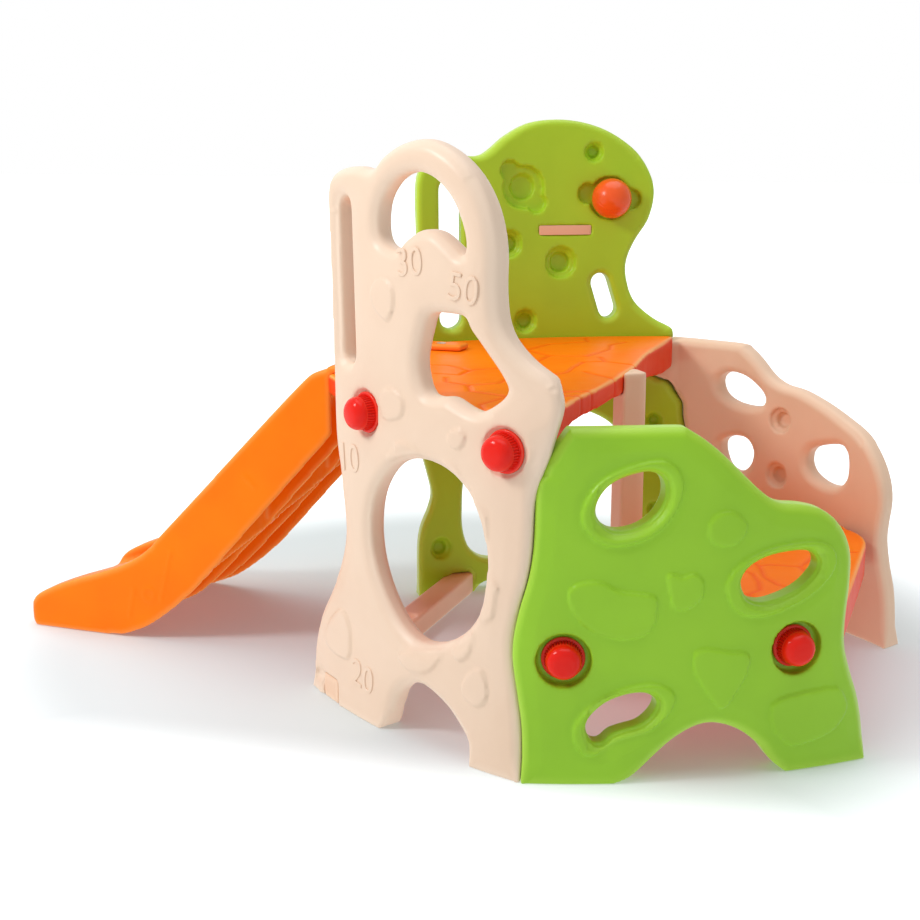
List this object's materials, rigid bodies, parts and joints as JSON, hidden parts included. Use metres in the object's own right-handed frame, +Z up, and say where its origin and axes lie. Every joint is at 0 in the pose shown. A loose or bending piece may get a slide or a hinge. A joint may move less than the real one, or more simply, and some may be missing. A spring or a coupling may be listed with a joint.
{
  "type": "toddler climbing gym",
  "caption": "Indoor climbing gym for small children: a hexagonal tower of moulded plastic walls with holds and crawl holes, a deck, a step and a slide.",
  "frame": {"origin": "on the floor, under the middle of the hexagonal tower, on the foot of the centre post", "axes": "+Z up; -X towards the end of the slide, +X towards the side where a child climbs in; +Y towards the tree wall at the back"},
  "size_m": [1.7838, 1.2592, 1.071],
  "materials": {
    "beige": "satin moulded plastic",
    "leaf_green": "satin moulded plastic",
    "tree_green": "satin moulded plastic",
    "sand": "satin moulded plastic",
    "orange": "satin moulded plastic",
    "knob_red": "glossy plastic",
    "ball_orange": "glossy plastic",
    "plug_tan": "satin plastic",
    "zinc": "zinc plated"
  },
  "bodies": {
    "gym": {"arch_wall": "beige", "hill_wall": "leaf_green", "tree_wall": "tree_green", "rock_wall": "sand", "upper_deck": "orange", "lower_step": "orange", "slide": "orange", "centre_post": "sand", "base_tie": "sand", "slot_plug": "plug_tan", "deck_nuts": "zinc", "step_nuts": "zinc", "slide_screws": "zinc", "post_screw": "zinc"},
    "ball": {"play_ball": "ball_orange"},
    "arch_knob_left": {"arch_knob_left": "knob_red"},
    "arch_knob_right": {"arch_knob_right": "knob_red"},
    "hill_knob_left": {"hill_knob_left": "knob_red"},
    "hill_knob_right": {"hill_knob_right": "knob_red"},
    "tree_knob_left": {"tree_knob_left": "knob_red"},
    "tree_knob_right": {"tree_knob_right": "knob_red"},
    "rock_knob_left": {"rock_knob_left": "knob_red"},
    "rock_knob_right": {"rock_knob_right": "knob_red"}
  },
  "joints": [
    {"name": "ball_pull_out", "type": "slide", "parent": "gym", "child": "ball", "axis": [0.4109, -0.9117, 0], "range_m": [0, 0.12]},
    {"name": "arch_knob_left_turn", "type": "hinge", "parent": "gym", "child": "arch_knob_left", "pos_m": [-0.33553, -0.46476, 0.571], "axis": [-0.5398, -0.8418, 0], "continuous": true},
    {"name": "arch_knob_right_turn", "type": "hinge", "parent": "gym", "child": "arch_knob_right", "pos_m": [-0.03723, -0.60448, 0.55095], "axis": [-0.3011, -0.9536, 0], "continuous": true},
    {"name": "hill_knob_left_turn", "type": "hinge", "parent": "gym", "child": "hill_knob_left", "pos_m": [0.0646, -0.59549, 0.21284], "axis": [0.323, -0.9464, 0], "continuous": true},
    {"name": "hill_knob_right_turn", "type": "hinge", "parent": "gym", "child": "hill_knob_right", "pos_m": [0.41023, -0.41294, 0.21572], "axis": [0.5995, -0.8003, 0], "continuous": true},
    {"name": "tree_knob_left_turn", "type": "hinge", "parent": "gym", "child": "tree_knob_left", "pos_m": [-0.16248, 0.55742, 0.571], "axis": [-0.4013, 0.9159, 0], "continuous": true},
    {"name": "tree_knob_right_turn", "type": "hinge", "parent": "gym", "child": "tree_knob_right", "pos_m": [-0.33553, 0.46476, 0.571], "axis": [-0.5398, 0.8418, 0], "continuous": true},
    {"name": "rock_knob_left_turn", "type": "hinge", "parent": "gym", "child": "rock_knob_left", "pos_m": [0.41023, 0.41294, 0.21572], "axis": [0.5995, 0.8003, 0], "continuous": true},
    {"name": "rock_knob_right_turn", "type": "hinge", "parent": "gym", "child": "rock_knob_right", "pos_m": [0.0646, 0.59549, 0.21284], "axis": [0.323, 0.9464, 0], "continuous": true}
  ]
}
